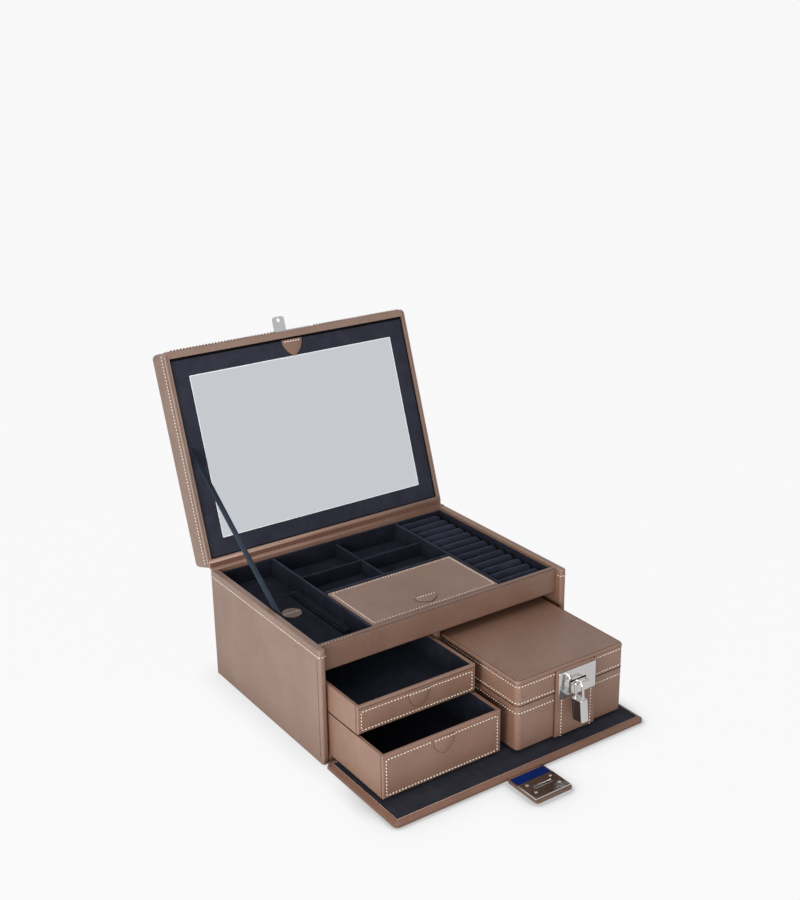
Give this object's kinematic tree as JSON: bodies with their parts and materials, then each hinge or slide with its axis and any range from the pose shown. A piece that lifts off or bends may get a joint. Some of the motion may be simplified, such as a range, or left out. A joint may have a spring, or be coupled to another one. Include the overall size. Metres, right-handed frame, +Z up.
{
  "type": "jewellery box",
  "caption": "Leather jewellery box with a mirrored lift lid, a divided top tray with ring rolls, a fall flap, pull-out drawers and a padlocked travel case.",
  "frame": {"origin": "centre of the case's underside, on the surface it stands on", "axes": "+X to the right seen from the front, +Y from the flap to the back wall, +Z up"},
  "size_m": [0.294, 0.4776, 0.3414],
  "materials": {
    "leather": "fine grained, satin",
    "dark_board": "matt cloth-covered board",
    "suede": "matt suede",
    "blue_lining": "matt",
    "mirror": "polished",
    "nickel": "polished",
    "brass": "satin"
  },
  "bodies": {
    "case": {"base_board": "leather", "left_wall": "leather", "right_wall": "leather", "back_wall": "leather", "front_rail": "leather", "deck_board": "dark_board", "bay_divider": "dark_board", "drawer_shelf": "dark_board", "tray_floor_lining": "suede", "tray_front_lining": "suede", "tray_back_lining": "suede", "tray_left_lining": "suede", "tray_right_lining": "suede", "left_divider": "suede", "right_divider": "suede", "cross_divider": "suede", "mid_divider": "suede", "centre_divider": "suede", "ring_pad": "suede", "earring_strip": "suede", "lid_hinge_leather": "leather", "flap_hinge_leather": "leather", "lid_strap": "leather"},
    "tray_floor_panel": {"floor_panel": "suede", "floor_panel_disc": "leather"},
    "tray_cover": {"tray_lid": "leather", "tray_lid_tab": "leather"},
    "lid": {"lid_top": "leather", "lid_frame": "leather", "lid_lining": "suede", "lid_staple": "nickel"},
    "mirror_panel": {"mirror_board": "suede", "mirror_glass": "mirror", "mirror_tab": "leather"},
    "flap": {"flap_board": "leather", "flap_lining": "blue_lining"},
    "clasp": {"clasp_tab": "leather", "clasp_lining": "blue_lining", "clasp_inner_plate": "nickel", "clasp_outer_plate": "nickel", "clasp_screws": "nickel"},
    "upper_drawer": {"upper_drawer_front": "leather", "upper_drawer_box": "dark_board", "upper_drawer_lining": "suede", "upper_drawer_tab": "leather"},
    "lower_drawer": {"lower_drawer_front": "leather", "lower_drawer_box": "dark_board", "lower_drawer_lining": "suede", "lower_drawer_tab": "leather"},
    "travel_case": {"travel_base": "leather", "travel_lid": "leather", "travel_hinge_leather": "leather", "travel_tab": "leather", "travel_plate": "nickel", "travel_staple": "nickel"},
    "shackle": {"padlock_shackle": "nickel"},
    "padlock": {"padlock_body": "nickel", "padlock_cylinder": "brass"}
  },
  "joints": [
    {"name": "lid_hinge", "type": "hinge", "parent": "case", "child": "lid", "pos_m": [0, 0.10675, 0.1185], "axis": [-1, 0, 0], "range_deg": [-108.5, 0], "deforming": ["lid_strap"]},
    {"name": "mirror_panel_hinge", "type": "hinge", "parent": "lid", "child": "mirror_panel", "pos_m": [0, 0.11274, 0.12694], "axis": [1, 0, 0], "range_deg": [0, 35]},
    {"name": "flap_hinge", "type": "hinge", "parent": "case", "child": "flap", "pos_m": [0, -0.1103, 0.003], "axis": [-1, 0, 0], "range_deg": [-90, 0]},
    {"name": "clasp_tab_hinge", "type": "hinge", "parent": "flap", "child": "clasp", "pos_m": [-0.0055, -0.2278, 0.0023], "axis": [1, 0, 0], "range_deg": [-75, 0]},
    {"name": "upper_drawer_slide", "type": "slide", "parent": "case", "child": "upper_drawer", "axis": [0, -1, 0], "range_m": [-0.0563, 0.09]},
    {"name": "lower_drawer_slide", "type": "slide", "parent": "case", "child": "lower_drawer", "axis": [0, -1, 0], "range_m": [-0.0947, 0.06]},
    {"name": "travel_case_slide", "type": "slide", "parent": "case", "child": "travel_case", "axis": [0, -1, 0], "range_m": [-0.126, 0.08]},
    {"name": "tray_lid_hinge", "type": "hinge", "parent": "case", "child": "tray_cover", "pos_m": [0, -0.0042, 0.1148], "axis": [-1, 0, 0], "range_deg": [0, 95]},
    {"name": "floor_panel_lift", "type": "slide", "parent": "case", "child": "tray_floor_panel", "axis": [0, 0, 1], "range_m": [0, 0.02]},
    {"name": "padlock_swing", "type": "hinge", "parent": "travel_case", "child": "shackle", "pos_m": [0.0662, -0.2175, 0.0636], "axis": [-1, 0, 0], "range_deg": [-6, 66]},
    {"name": "padlock_release", "type": "slide", "parent": "shackle", "child": "padlock", "axis": [0, 0.1045, 0.9945], "range_m": [-0.005, 0]}
  ]
}
